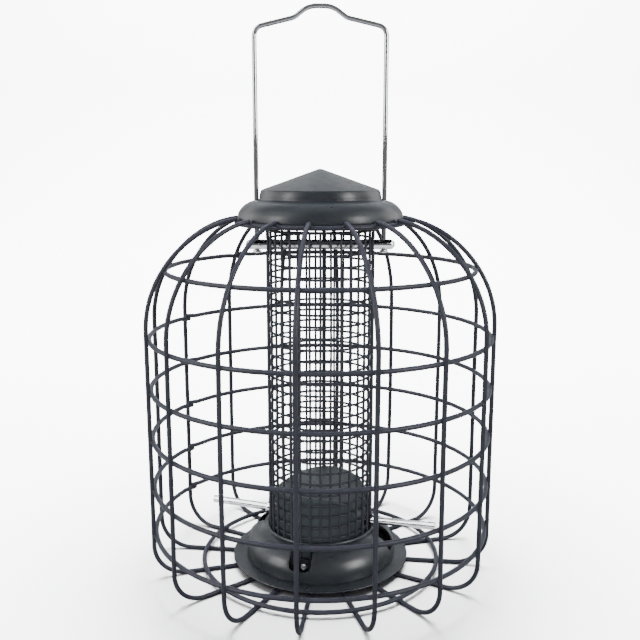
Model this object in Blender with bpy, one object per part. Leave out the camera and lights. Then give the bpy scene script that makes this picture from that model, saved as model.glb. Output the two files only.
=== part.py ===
"""Caged bird feeder: a wire mesh nut tube that hangs in a welded cage under a sliding lid.

The frame is +Z up with the origin on the floor, under the tube's axis.
Azimuth is measured about +Z from +X, and the front of the feeder faces -Y.
"""
import math

import bmesh
import bpy
from mathutils import Matrix, Vector

MM = 0.001
FULL_TURN = 2 * math.pi
UP = Vector((0, 0, 1))

# Clearances
GAP = 0.3 * MM                        # between pieces that touch or are welded
BORE_CLEARANCE = 0.4 * MM             # round a rod in its hole
OVERRUN = 2 * MM                      # how far a cutter passes through a wall
MERGE_DISTANCE = 0.01 * MM            # corners of one piece that coincide

# Cage wire
UPRIGHT_COUNT = 16
UPRIGHT_RADIUS = 1.3 * MM
RING_WIRE_RADIUS = 1.25 * MM
WIRE_SIDES = 6
FIRST_UPRIGHT_AZIMUTH = math.radians(-74.3)

# Cage: floor, waist and the shoulder, whose pulls are the handles of its cubic curve
CAGE_RADIUS = 108.35 * MM             # centre line of the upright wires at the waist
FOOT_BEND_RADIUS = 20 * MM
FOOT_BEND_STEPS = 3
SPOKE_END_RADIUS = 14 * MM
FLOOR_RING_RADIUS = 76.3 * MM
SIDE_RING_HEIGHTS = (152.1 * MM, 120.4 * MM, 89.6 * MM, 57.6 * MM, 28 * MM)
WAIST_MARGIN = 5.9 * MM               # straight wire above the highest of these rings
SHOULDER_HEIGHT = 65.9 * MM
SHOULDER_RISE = 37 * MM               # pull straight up
SHOULDER_REACH = 25.5 * MM            # pull outwards from the top ring
SHOULDER_SLOPE = math.radians(5)      # of the cut ends
SHOULDER_STEPS = 8
SHOULDER_RING_STEP = 3                # the step of the curve that carries the highest side ring
CUT_END_CLEARANCE = 0.75 * MM         # between the lid's hem and the wires' cut ends

# Hub plate under the tray, welded on the spokes, with the screw that holds the tray down
HUB_PLATE_RADIUS = 20 * MM
HUB_PLATE_THICKNESS = 1 * MM
HUB_SCREW_RADIUS = 1.9 * MM
HUB_SCREW_HEAD_RADIUS = 3.6 * MM
HUB_SCREW_HEAD_HEIGHT = 1.4 * MM
HUB_NUT_RADIUS = 4 * MM
HUB_NUT_HEIGHT = 2.4 * MM
HUB_NUT_SIDES = 6
HUB_SCREW_TAIL = 0.8 * MM             # thread left above the nut

# Tray. Its heights are above its foot, which stands on the spokes
TRAY_WALL = 1 * MM
TRAY_RISE = 4.75 * MM                 # of the floor's top
TRAY_SHOULDER_MARGIN = 0.3 * MM       # flat floor outside the dome
TRAY_BRIM_WIDTH = 8 * MM
TRAY_BRIM_RISE = 2.15 * MM
TRAY_HEM_ROUND = 0.5 * MM
TRAY_WELL_RADIUS = 15 * MM            # pressed seat for the hub plate
TRAY_WELL_SLOPE = 4 * MM

# Tabs bent up from the tray, which hold the tube's foot with a screw at the front and back
TAB_WIDTH = 7.4 * MM
TAB_HEIGHT = 7.8 * MM                 # above the tray's floor, to the top of its round end
TAB_THICKNESS = 1 * MM
SCREW_RISE = 2.65 * MM                # above the tray's floor
SCREW_RADIUS = 1 * MM
SCREW_HEAD_RADIUS = 1.9 * MM
SCREW_HEAD_HEIGHT = 1.5 * MM

# Base dome, from a neck round the tube over a quarter ellipse to an upright flank
DOME_NECK_CLEARANCE = 0.7 * MM
DOME_NECK_RISE = 17.2 * MM            # above the tray's floor
DOME_REACH = 14.2 * MM                # of the flank beyond the neck
DOME_FLANK_RISE = 2 * MM              # height of the upright flank
DOME_WALL = 1 * MM
DOME_STEPS = 5
DOME_TURN = math.radians(1.2)         # of the ports against the perches above them
PORT_COUNT = 4
PORT_WIDTH = 14.2 * MM
PORT_CORNER = 4 * MM
PORT_SILL_RISE = 3.7 * MM             # above the tray's floor
PORT_NECK_WIDTH = 2.7 * MM            # of the neck left inside each port
PORT_CORNER_STEPS = 2

# Mesh tube
MESH_WIRE = 1 * MM                    # width of the square-drawn mesh uprights
HOOP_WIRE_RADIUS = 0.62 * MM          # of the three-sided hoop wire
HOOP_WIRE_SIDES = 3
MESH_UPRIGHT_COUNT = 32
TUBE_RADIUS = 33.2 * MM               # centre line of the mesh uprights that stand at hoop corners
TUBE_HEADROOM = 4.55 * MM             # from the tube's rim up to the lid's hem
LOWEST_HOOP_RISE = 5.6 * MM           # above the tube's foot
HOOPS_BELOW_BAR = 28
HOOP_CORNERS = 16
SEAM_INSET = 0.2 * MM                 # the lapped seam wire stands this far inside the hoops

# Cross bar and handle. The handle's heights are above the bar
BAR_RADIUS = 3.1 * MM
BAR_OVERHANG = 7 * MM                 # beyond the handle's legs
BAR_DROP = 10.4 * MM                  # below the tube's rim
HANDLE_RADIUS = 1.4 * MM
HANDLE_TUBE_CLEARANCE = 4.1 * MM      # between legs and tube
HANDLE_CORNER_RISE = 128.2 * MM       # corner points of the wire's centre line, before rounding
HANDLE_CORNER_ROUND = 6 * MM
HUMP_FOOT_HALF_WIDTH = 15.6 * MM
HUMP_FOOT_RISE = 133.7 * MM
HUMP_FOOT_ROUND = 8 * MM
HUMP_TOP_HALF_WIDTH = 7 * MM
HUMP_TOP_RISE = 140.3 * MM
HUMP_TOP_ROUND = 14 * MM
STOP_RADIUS = 2.5 * MM
STOP_HEIGHT = 1.4 * MM
HANDLE_TAIL = 0.5 * MM                # wire left below the stops

# Lid. Its heights are above its hem, which sits on the cage's top ring
LID_WALL = 1 * MM
LID_HEIGHT = 31.35 * MM
LID_TIP_RADIUS = 1.6 * MM
LID_TIP_DROP = 0.35 * MM
LID_CONE_RISE = 18.75 * MM            # of the cone's foot
LID_EDGE_ROUND = 0.8 * MM
LID_BAND_TAPER = 0.5 * MM
LID_BAND_RISE = 12.85 * MM            # of the band's foot
LID_LEG_INSET = 1.9 * MM              # from the band's foot out to the handle's legs
LID_ROLL_WIDTH = 13.7 * MM
LID_ROLL_RISE = 1.35 * MM             # of the rolled shoulder's foot, which is the hem's top
LID_ROLL_STEPS = 4
LID_HEM_INSET = 0.1 * MM

# Seed baffle
BAFFLE_CLEARANCE = 0.45 * MM          # inside the hoops
BAFFLE_WALL = 1.6 * MM
BAFFLE_RIDGE_RISE = 45.2 * MM         # above the tray's floor
BAFFLE_SIDE_DROP = 6.5 * MM
BAFFLE_EDGE_ROUND = 1 * MM
BAFFLE_RING_SHARES = (0.35, 0.7)      # of the baffle's radius

# Perches
PERCH_STEP_SHARE = -1.5               # of the step between mesh uprights, from +X: midway between two
PERCH_RISE = 22.9 * MM                # above the tray's floor
PERCH_RADIUS = 2.4 * MM
PERCH_REACH = 42 * MM                 # from the tube's outside
PERCH_TIP_ROUND = 0.6 * MM
STUD_RADIUS = 1.5 * MM
STUD_LENGTH_INSIDE = 2.5 * MM         # past the baffle's skirt
COLLAR_RADIUS = 3.9 * MM
COLLAR_LENGTH = 3.2 * MM
COLLAR_BEVEL = 0.5 * MM

# Faceting
PRESSED_SEGMENTS = 24
BAFFLE_SEGMENTS = 20
ROD_SEGMENTS = 10
END_STEPS = 4
HANDLE_SIDES = 8
HANDLE_BEND_STEPS = 3
SHARP_ANGLE = math.radians(35)

# What touches the cage's wires stands on their flats
UPRIGHT_FLAT = UPRIGHT_RADIUS * math.cos(math.pi / WIRE_SIDES)
RING_FLAT = RING_WIRE_RADIUS * math.cos(math.pi / WIRE_SIDES)
SPOKE_TOP = 2 * UPRIGHT_FLAT
RING_SEAT = UPRIGHT_FLAT + GAP + RING_WIRE_RADIUS
WAIST_TOP = SIDE_RING_HEIGHTS[0] + WAIST_MARGIN

# Base, from the spokes up
HUB_PLATE_BOTTOM = SPOKE_TOP + GAP
HUB_PLATE_TOP = HUB_PLATE_BOTTOM + HUB_PLATE_THICKNESS
HUB_HOLE_RADIUS = HUB_SCREW_RADIUS + BORE_CLEARANCE
TRAY_FOOT = SPOKE_TOP + GAP
TRAY_FLOOR = TRAY_FOOT + TRAY_RISE
TRAY_WELL_TOP = HUB_PLATE_TOP + GAP + TRAY_WALL
TUBE_FOOT = TRAY_FLOOR + GAP
SCREW_HEIGHT = TRAY_FLOOR + SCREW_RISE
PERCH_HEIGHT = TRAY_FLOOR + PERCH_RISE

# Tube, from the mesh outwards and inwards
TUBE_OUTSIDE = TUBE_RADIUS + MESH_WIRE / 2
CLAMP_FACE = TUBE_OUTSIDE + GAP       # collars and tabs bear on the mesh here
HOOP_FLAT = HOOP_WIRE_RADIUS * math.cos(math.pi / HOOP_WIRE_SIDES)
HOOP_RADIUS = TUBE_RADIUS - MESH_WIRE / 2 - GAP - HOOP_FLAT
BAFFLE_RADIUS = (HOOP_RADIUS - HOOP_WIRE_RADIUS) * math.cos(math.pi / HOOP_CORNERS) - BAFFLE_CLEARANCE
PERCH_AZIMUTH = PERCH_STEP_SHARE * FULL_TURN / MESH_UPRIGHT_COUNT
SCREW_AZIMUTH = PERCH_AZIMUTH - FULL_TURN / 4
DOME_NECK_RADIUS = TUBE_OUTSIDE + DOME_NECK_CLEARANCE
DOME_RADIUS = DOME_NECK_RADIUS + DOME_REACH
TRAY_SHOULDER_RADIUS = DOME_RADIUS + TRAY_SHOULDER_MARGIN
TRAY_RADIUS = TRAY_SHOULDER_RADIUS + TRAY_BRIM_WIDTH

# Handle and lid round the tube's mouth, and the cage's top round the lid
HANDLE_HALF_WIDTH = TUBE_OUTSIDE + HANDLE_TUBE_CLEARANCE + HANDLE_RADIUS
LID_BAND_RADIUS = HANDLE_HALF_WIDTH - LID_LEG_INSET
LID_RADIUS = LID_BAND_RADIUS + LID_ROLL_WIDTH
CAGE_TOP_RADIUS = LID_RADIUS + CUT_END_CLEARANCE


def clear_scene():
    for old in list(bpy.data.objects):
        bpy.data.objects.remove(old, do_unlink=True)


def make_material(name, colour, roughness, metallic):
    material = bpy.data.materials.new(name)
    material.use_nodes = True
    shader = material.node_tree.nodes["Principled BSDF"]
    shader.inputs["Base Color"].default_value = (*colour, 1)
    shader.inputs["Roughness"].default_value = roughness
    shader.inputs["Metallic"].default_value = metallic
    return material


def add_object(name, shape, material, place=None, parent=None):
    """Turns a bmesh into a named object with smooth round faces and crisp edges."""
    bmesh.ops.recalc_face_normals(shape, faces=shape.faces)
    mesh = bpy.data.meshes.new(name)
    shape.to_mesh(mesh)
    shape.free()
    mesh.shade_smooth()
    mesh.set_sharp_from_angle(angle=SHARP_ANGLE)
    mesh.materials.append(material)
    piece = bpy.data.objects.new(name, mesh)
    bpy.context.collection.objects.link(piece)
    if place is not None:
        piece.matrix_world = place
    if parent is not None:
        piece.parent = parent
    return piece


def cut(piece, cutter):
    """Cuts a hidden guide out of a piece."""
    cutter.hide_render = True
    cutter.display_type = "WIRE"
    modifier = piece.modifiers.new(cutter.name, "BOOLEAN")
    modifier.operation = "DIFFERENCE"
    modifier.object = cutter


def join(piece, other):
    """Welds a hidden guide's shape onto a piece."""
    cut(piece, other)
    piece.modifiers[-1].operation = "UNION"


def bridge(shape, first, second):
    """Joins two closed rows of as many corners with a band of faces."""
    count = len(first)
    for i in range(count):
        j = (i + 1) % count
        shape.faces.new((first[i], first[j], second[j], second[i]))


def wire_along(shape, path, side, radius, sides, corner_angle=0.0, closed=False):
    """Adds a wire that follows a flat path, with mitred corners.

    side is the direction square to the path's plane. The section is a regular polygon
    whose first corner is turned by corner_angle from side.
    """
    rows = []
    angles = [corner_angle + FULL_TURN * k / sides for k in range(sides)]
    count = len(path)
    for i, point in enumerate(path):
        before = path[i - 1] if i or closed else None
        after = path[(i + 1) % count] if i + 1 < count or closed else None
        arriving = (point - before).normalized() if before is not None else None
        leaving = (after - point).normalized() if after is not None else arriving
        arriving = arriving if arriving is not None else leaving
        along = (arriving + leaving).normalized()
        across = along.cross(side) / along.dot(leaving)
        rows.append([shape.verts.new(point + radius * (side * math.cos(a) + across * math.sin(a)))
                     for a in angles])
    for i in range(count if closed else count - 1):
        bridge(shape, rows[i], rows[(i + 1) % count])
    if not closed:
        shape.faces.new(rows[0])
        shape.faces.new(rows[-1])


def spun(profile, segments, is_sheet=False):
    """Spins an outline of (radius, height) about Z: a solid, or an open line into a sheet."""
    shape = bmesh.new()
    corners = [shape.verts.new((radius, 0, height)) for radius, height in profile]
    edges = [shape.edges.new(pair) for pair in zip(corners, corners[1:])]
    if not is_sheet and profile[0][0] > 0:
        edges.append(shape.edges.new((corners[-1], corners[0])))
    bmesh.ops.spin(shape, geom=corners + edges, cent=(0, 0, 0), axis=UP, dvec=(0, 0, 0),
                   angle=FULL_TURN, steps=segments, use_merge=True)
    bmesh.ops.remove_doubles(shape, verts=shape.verts, dist=MERGE_DISTANCE)
    return shape


def prism(outline, along):
    """Extrudes a flat outline along a vector."""
    shape = bmesh.new()
    face = shape.faces.new([shape.verts.new(point) for point in outline])
    swept = bmesh.ops.extrude_face_region(shape, geom=[face])["geom"]
    bmesh.ops.translate(shape, vec=along, verts=[v for v in swept if isinstance(v, bmesh.types.BMVert)])
    return shape


def give_wall(piece, thickness, side):
    wall = piece.modifiers.new("wall", "SOLIDIFY")
    wall.thickness = thickness
    wall.offset = side
    wall.use_even_offset = True


def quarter_ellipse(start, end, steps):
    """Points of (radius, height) from a level start to an upright end."""
    points = []
    for k in range(steps + 1):
        angle = FULL_TURN / 4 * k / steps
        points.append((start[0] + (end[0] - start[0]) * math.sin(angle),
                       end[1] + (start[1] - end[1]) * math.cos(angle)))
    return points


def rounded_path(corners, rounds, steps):
    """A line through the corners, each turned with an arc of its own radius."""
    path = [corners[0]]
    for before, corner, after, radius in zip(corners, corners[1:], corners[2:], rounds):
        arriving = (corner - before).normalized()
        leaving = (after - corner).normalized()
        turn = arriving.angle(leaving)
        reach = radius * math.tan(turn / 2)
        centre = corner + (leaving - arriving).normalized() * radius / math.cos(turn / 2)
        start = corner - arriving * reach - centre
        end = corner + leaving * reach - centre
        for k in range(steps + 1):
            share = k / steps
            weight = math.sin(turn)
            arc = start * (math.sin((1 - share) * turn) / weight) + end * (math.sin(share * turn) / weight)
            path.append(centre + arc)
    path.append(corners[-1])
    return path


def circle_path(radius, height, corners, first_azimuth=0.0):
    angles = [first_azimuth + FULL_TURN * k / corners for k in range(corners)]
    return [Vector((radius * math.cos(a), radius * math.sin(a), height)) for a in angles]


def shoulder_point(share):
    """The upright's shoulder, a cubic curve in its own plane, from the waist to the top ring."""
    lean = Vector((math.cos(SHOULDER_SLOPE), 0, -math.sin(SHOULDER_SLOPE)))
    waist = Vector((CAGE_RADIUS, 0, WAIST_TOP))
    top = Vector((CAGE_TOP_RADIUS, 0, WAIST_TOP + SHOULDER_HEIGHT))
    rest = 1 - share
    return (waist * rest ** 3 + (waist + UP * SHOULDER_RISE) * 3 * rest ** 2 * share
            + (top + lean * SHOULDER_REACH) * 3 * rest * share ** 2 + top * share ** 3)


def upright_path():
    """Spoke on the floor, foot bend, straight waist and shoulder."""
    foot = [Vector((SPOKE_END_RADIUS, 0, UPRIGHT_FLAT)),
            Vector((CAGE_RADIUS, 0, UPRIGHT_FLAT)),
            Vector((CAGE_RADIUS, 0, WAIST_TOP))]
    path = rounded_path(foot, (FOOT_BEND_RADIUS,), FOOT_BEND_STEPS)[:-1]
    return path + [shoulder_point(k / SHOULDER_STEPS) for k in range(SHOULDER_STEPS + 1)]


def ring_seat(step):
    """Centre of a ring's wire that touches the inner side of the upright at a shoulder step."""
    point = shoulder_point(step / SHOULDER_STEPS)
    before = shoulder_point((step - 1) / SHOULDER_STEPS)
    after = shoulder_point((step + 1) / SHOULDER_STEPS) if step < SHOULDER_STEPS else point
    along = ((point - before).normalized() + (after - point).normalized()).normalized()
    inwards = Vector((-along.z, 0, along.x))
    seat = point + inwards * RING_SEAT
    return seat.x, seat.z


# The lid sits on the top ring, and the tube's mouth and its bar hang below the lid's hem
LID_HEM = ring_seat(SHOULDER_STEPS)[1] + RING_FLAT + GAP
TUBE_TOP = LID_HEM - TUBE_HEADROOM
BAR_HEIGHT = TUBE_TOP - BAR_DROP
STOP_TOP = BAR_HEIGHT - BAR_RADIUS - GAP


def make_cage(material):
    for k in range(UPRIGHT_COUNT):
        shape = bmesh.new()
        wire_along(shape, upright_path(), Vector((0, 1, 0)), UPRIGHT_RADIUS, WIRE_SIDES)
        azimuth = FIRST_UPRIGHT_AZIMUTH + FULL_TURN * k / UPRIGHT_COUNT
        add_object(f"cage_wire_{k + 1:02d}", shape, material, Matrix.Rotation(azimuth, 4, "Z"))
    rings = {"cage_top_ring": ring_seat(SHOULDER_STEPS),
             "cage_side_ring_1": ring_seat(SHOULDER_RING_STEP),
             "cage_floor_ring": (FLOOR_RING_RADIUS, SPOKE_TOP + GAP + RING_FLAT)}
    for k, height in enumerate(SIDE_RING_HEIGHTS):
        rings[f"cage_side_ring_{k + 2}"] = (CAGE_RADIUS - RING_SEAT, height)
    for name, (radius, height) in rings.items():
        shape = bmesh.new()
        path = circle_path(radius, height, 2 * UPRIGHT_COUNT, FIRST_UPRIGHT_AZIMUTH)
        wire_along(shape, path, UP, RING_WIRE_RADIUS, WIRE_SIDES, FULL_TURN / (2 * WIRE_SIDES), closed=True)
        add_object(name, shape, material)


def rod_cutter(name, radius, centre, direction, length, material):
    """A round guide along any direction, centred on a point."""
    half = length / 2
    shape = spun([(0, -half), (radius, -half), (radius, half), (0, half)], ROD_SEGMENTS)
    place = Matrix.Translation(centre) @ direction.to_track_quat("Z", "Y").to_matrix().to_4x4()
    return add_object(name, shape, material, place)


def make_hub(cage_material, steel):
    """Plate welded on the spoke ends, with the screw's head below it and the nut above the tray."""
    plate = [(HUB_HOLE_RADIUS, HUB_PLATE_BOTTOM), (HUB_PLATE_RADIUS, HUB_PLATE_BOTTOM),
             (HUB_PLATE_RADIUS, HUB_PLATE_TOP), (HUB_HOLE_RADIUS, HUB_PLATE_TOP)]
    add_object("hub_plate", spun(plate, PRESSED_SEGMENTS), cage_material)
    head_top = HUB_PLATE_BOTTOM - GAP
    head_bottom = head_top - HUB_SCREW_HEAD_HEIGHT
    nut_bottom = TRAY_WELL_TOP + GAP
    screw_top = nut_bottom + HUB_NUT_HEIGHT + HUB_SCREW_TAIL
    screw = [(0, head_bottom), (HUB_SCREW_HEAD_RADIUS / 2, head_bottom),
             (HUB_SCREW_HEAD_RADIUS, (head_bottom + head_top) / 2), (HUB_SCREW_HEAD_RADIUS, head_top),
             (HUB_SCREW_RADIUS, head_top), (HUB_SCREW_RADIUS, screw_top), (0, screw_top)]
    add_object("hub_screw", spun(screw, ROD_SEGMENTS), steel)
    hexagon = circle_path(HUB_NUT_RADIUS, nut_bottom, HUB_NUT_SIDES)
    nut = add_object("hub_nut", prism(hexagon, UP * HUB_NUT_HEIGHT), steel)
    middle = UP * (nut_bottom + HUB_NUT_HEIGHT / 2)
    cut(nut, rod_cutter("nut_bore", HUB_HOLE_RADIUS, middle, UP, HUB_NUT_HEIGHT + OVERRUN, steel))


def tab_guide(name, turn, material):
    """A tongue with a round end, bent up from the middle of the tray's floor sheet."""
    half = TAB_WIDTH / 2
    foot = TRAY_FLOOR - TRAY_WALL / 2
    arc_centre = TRAY_FLOOR + TAB_HEIGHT - half
    outline = [(-half, foot), (half, foot)]
    for k in range(END_STEPS + 1):
        angle = FULL_TURN / 2 * k / END_STEPS
        outline.append((half * math.cos(angle), arc_centre + half * math.sin(angle)))
    corners = [(CLAMP_FACE, across, height) for across, height in outline]
    shape = prism(corners, Vector((TAB_THICKNESS, 0, 0)))
    return add_object(name, shape, material, Matrix.Rotation(turn, 4, "Z"))


def screw_hole(name, turn, inner, outer, radius, height, material):
    """A round guide square to the tube's wall, from one radius to another."""
    outwards = Vector((math.cos(turn), math.sin(turn), 0))
    centre = outwards * (inner + outer) / 2 + UP * height
    return rod_cutter(name, radius, centre, outwards, outer - inner + OVERRUN, material)


def make_tray(material):
    slope_end = TRAY_WELL_RADIUS + TRAY_WELL_SLOPE
    inner_corner = TRAY_WALL / 2
    brim_inside = TRAY_RADIUS - TRAY_WALL
    brim_top = TRAY_FOOT + TRAY_BRIM_RISE
    outline = [(HUB_HOLE_RADIUS, TRAY_WELL_TOP), (TRAY_WELL_RADIUS, TRAY_WELL_TOP), (slope_end, TRAY_FLOOR),
               (TRAY_SHOULDER_RADIUS, TRAY_FLOOR), (TRAY_RADIUS - TRAY_HEM_ROUND, brim_top),
               (TRAY_RADIUS, brim_top - TRAY_HEM_ROUND), (TRAY_RADIUS, TRAY_FOOT),
               (brim_inside, TRAY_FOOT), (brim_inside, brim_top - TRAY_WALL),
               (TRAY_SHOULDER_RADIUS, TRAY_FLOOR - TRAY_WALL), (slope_end + inner_corner, TRAY_FLOOR - TRAY_WALL),
               (TRAY_WELL_RADIUS + inner_corner, TRAY_WELL_TOP - TRAY_WALL),
               (HUB_HOLE_RADIUS, TRAY_WELL_TOP - TRAY_WALL)]
    tray = add_object("base_tray", spun(outline, PRESSED_SEGMENTS), material)
    for side, turn in (("front", SCREW_AZIMUTH), ("back", SCREW_AZIMUTH + FULL_TURN / 2)):
        join(tray, tab_guide(f"tab_guide_{side}", turn, material))
        cut(tray, screw_hole(f"tab_hole_{side}", turn, CLAMP_FACE, CLAMP_FACE + TAB_THICKNESS,
                             SCREW_RADIUS + GAP, SCREW_HEIGHT, material))


def port_cutter(name, azimuth, material):
    """A slot with a round-cornered sill, open at the top of the dome."""
    sill = TRAY_FLOOR + PORT_SILL_RISE
    half = PORT_WIDTH / 2
    crest = TRAY_FLOOR + DOME_NECK_RISE + OVERRUN
    outline = [(half, crest), (-half, crest)]
    for side in (-1, 1):
        centre = side * (half - PORT_CORNER)
        for k in range(PORT_CORNER_STEPS + 1):
            angle = FULL_TURN / 4 * (k / PORT_CORNER_STEPS if side < 0 else 1 - k / PORT_CORNER_STEPS)
            outline.append((centre + side * PORT_CORNER * math.cos(angle),
                            sill + PORT_CORNER * (1 - math.sin(angle))))
    start = DOME_NECK_RADIUS + PORT_NECK_WIDTH
    corners = [(start, across, height) for across, height in outline]
    shape = prism(corners, Vector((DOME_RADIUS + OVERRUN - start, 0, 0)))
    return add_object(name, shape, material, Matrix.Rotation(azimuth, 4, "Z"))


def make_dome(material):
    foot = TRAY_FLOOR + GAP
    outline = quarter_ellipse((DOME_NECK_RADIUS, TRAY_FLOOR + DOME_NECK_RISE),
                              (DOME_RADIUS, foot + DOME_FLANK_RISE), DOME_STEPS)
    dome = add_object("base_dome", spun(outline + [(DOME_RADIUS, foot)], PRESSED_SEGMENTS, is_sheet=True),
                      material)
    give_wall(dome, DOME_WALL, -1)
    for k in range(PORT_COUNT):
        azimuth = PERCH_AZIMUTH + DOME_TURN + FULL_TURN * k / PORT_COUNT
        cut(dome, port_cutter(f"port_guide_{k + 1}", azimuth, material))


def mesh_upright_radius(index):
    """Every second mesh upright stands at a hoop corner, the others on a hoop's flat."""
    on_corner = index % (MESH_UPRIGHT_COUNT // HOOP_CORNERS) == 0
    hoop = HOOP_RADIUS if on_corner else HOOP_RADIUS * math.cos(math.pi / HOOP_CORNERS)
    return hoop + TUBE_RADIUS - HOOP_RADIUS


def mesh_station_row(shape, height, inset):
    """Corner points of the mesh uprights at one height, two for each upright, on one side of the wire."""
    row = []
    for k in range(MESH_UPRIGHT_COUNT):
        azimuth = FULL_TURN * k / MESH_UPRIGHT_COUNT
        outwards = Vector((math.cos(azimuth), math.sin(azimuth), 0))
        across = Vector((-math.sin(azimuth), math.cos(azimuth), 0)) * MESH_WIRE / 2
        middle = outwards * (mesh_upright_radius(k) + inset) + UP * height
        row += [shape.verts.new(middle - across), shape.verts.new(middle + across)]
    return row


def make_mesh_uprights(material):
    """The tube's upright wires, welded to a rim at each end. Two are broken where the bar passes."""
    shape = bmesh.new()
    heights = (TUBE_FOOT, TUBE_FOOT + MESH_WIRE, TUBE_TOP - MESH_WIRE, TUBE_TOP)
    outer = [mesh_station_row(shape, height, MESH_WIRE / 2) for height in heights]
    inner = [mesh_station_row(shape, height, -MESH_WIRE / 2) for height in heights]
    stations = len(outer[0])
    for end, joined in ((0, 1), (3, 2)):
        for first, second in ((outer[end], outer[joined]), (inner[end], inner[joined]), (outer[end], inner[end])):
            bridge(shape, first, second)
        for i in range(1, stations, 2):
            j = (i + 1) % stations
            shape.faces.new((outer[joined][i], outer[joined][j], inner[joined][j], inner[joined][i]))
    for k in range(MESH_UPRIGHT_COUNT):
        corners = ((outer, 2 * k), (outer, 2 * k + 1), (inner, 2 * k + 1), (inner, 2 * k))
        low = [rows[1][i] for rows, i in corners]
        high = [rows[2][i] for rows, i in corners]
        if k % (MESH_UPRIGHT_COUNT // 2):
            bridge(shape, low, high)
            continue
        for ring, height in ((low, BAR_HEIGHT - BAR_RADIUS - GAP), (high, BAR_HEIGHT + BAR_RADIUS + GAP)):
            cut_end = [shape.verts.new((corner.co.x, corner.co.y, height)) for corner in ring]
            bridge(shape, ring, cut_end)
            shape.faces.new(cut_end)
    add_object("mesh_uprights", shape, material)


def make_mesh_hoops(material):
    """The tube's hoops, inside the uprights, held together by the lapped seam wire at the back."""
    shape = bmesh.new()
    bar_offset = BAR_RADIUS + GAP + HOOP_WIRE_RADIUS
    lowest = TUBE_FOOT + LOWEST_HOOP_RISE
    pitch = (BAR_HEIGHT - bar_offset - lowest) / (HOOPS_BELOW_BAR - 1)
    heights = [lowest + pitch * k for k in range(HOOPS_BELOW_BAR)]
    heights += [BAR_HEIGHT + bar_offset, TUBE_TOP - MESH_WIRE]
    for height in heights:
        circle = circle_path(HOOP_RADIUS, height, HOOP_CORNERS)
        wire_along(shape, circle, UP, HOOP_WIRE_RADIUS, HOOP_WIRE_SIDES, -FULL_TURN / 4, closed=True)
    hoops = add_object("mesh_hoops", shape, material)
    half = MESH_WIRE / 2
    back = HOOP_RADIUS - SEAM_INSET
    foot = heights[0] - MESH_WIRE
    section = [(x, back + y, foot) for x, y in ((-half, -half), (half, -half), (half, half), (-half, half))]
    seam = prism(section, UP * (heights[-1] + MESH_WIRE - foot))
    join(hoops, add_object("seam_guide", seam, material))


def make_crossbar(material):
    """A round bar with domed ends, drilled upright for the handle's legs."""
    half_length = HANDLE_HALF_WIDTH + BAR_OVERHANG
    outline = [(0, -half_length)]
    for k in range(1, END_STEPS + 1):
        angle = FULL_TURN / 4 * k / END_STEPS
        outline.append((BAR_RADIUS * math.sin(angle), -half_length + BAR_RADIUS * (1 - math.cos(angle))))
    outline += [(radius, -height) for radius, height in reversed(outline)]
    lie_down = Matrix.Translation((0, 0, BAR_HEIGHT)) @ Matrix.Rotation(FULL_TURN / 4, 4, "Y")
    bar = add_object("crossbar", spun(outline, ROD_SEGMENTS), material, lie_down)
    for side, name in ((-1, "left"), (1, "right")):
        centre = Vector((side * HANDLE_HALF_WIDTH, 0, BAR_HEIGHT))
        length = 2 * (BAR_RADIUS + OVERRUN)
        cut(bar, rod_cutter(f"bar_bore_{name}", HANDLE_RADIUS + BORE_CLEARANCE, centre, UP, length, material))


def make_handle(material):
    """One bent wire: two legs, sloped shoulders and the hump that hangs on a hook."""
    stop_bottom = STOP_TOP - STOP_HEIGHT
    half = [(HANDLE_HALF_WIDTH, stop_bottom - HANDLE_TAIL),
            (HANDLE_HALF_WIDTH, BAR_HEIGHT + HANDLE_CORNER_RISE),
            (HUMP_FOOT_HALF_WIDTH, BAR_HEIGHT + HUMP_FOOT_RISE),
            (HUMP_TOP_HALF_WIDTH, BAR_HEIGHT + HUMP_TOP_RISE)]
    corners = [Vector((-x, 0, z)) for x, z in half] + [Vector((x, 0, z)) for x, z in reversed(half)]
    rounds = (HANDLE_CORNER_ROUND, HUMP_FOOT_ROUND, HUMP_TOP_ROUND)
    path = rounded_path(corners, rounds + rounds[::-1], HANDLE_BEND_STEPS)
    shape = bmesh.new()
    wire_along(shape, path, Vector((0, -1, 0)), HANDLE_RADIUS, HANDLE_SIDES)
    add_object("handle", shape, material)
    bore = HANDLE_RADIUS + BORE_CLEARANCE
    ring = [(bore, stop_bottom), (STOP_RADIUS, stop_bottom), (STOP_RADIUS, STOP_TOP), (bore, STOP_TOP)]
    for side, name in ((-1, "left"), (1, "right")):
        place = Matrix.Translation((side * HANDLE_HALF_WIDTH, 0, 0))
        add_object(f"handle_stop_{name}", spun(ring, ROD_SEGMENTS), material, place)


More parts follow.
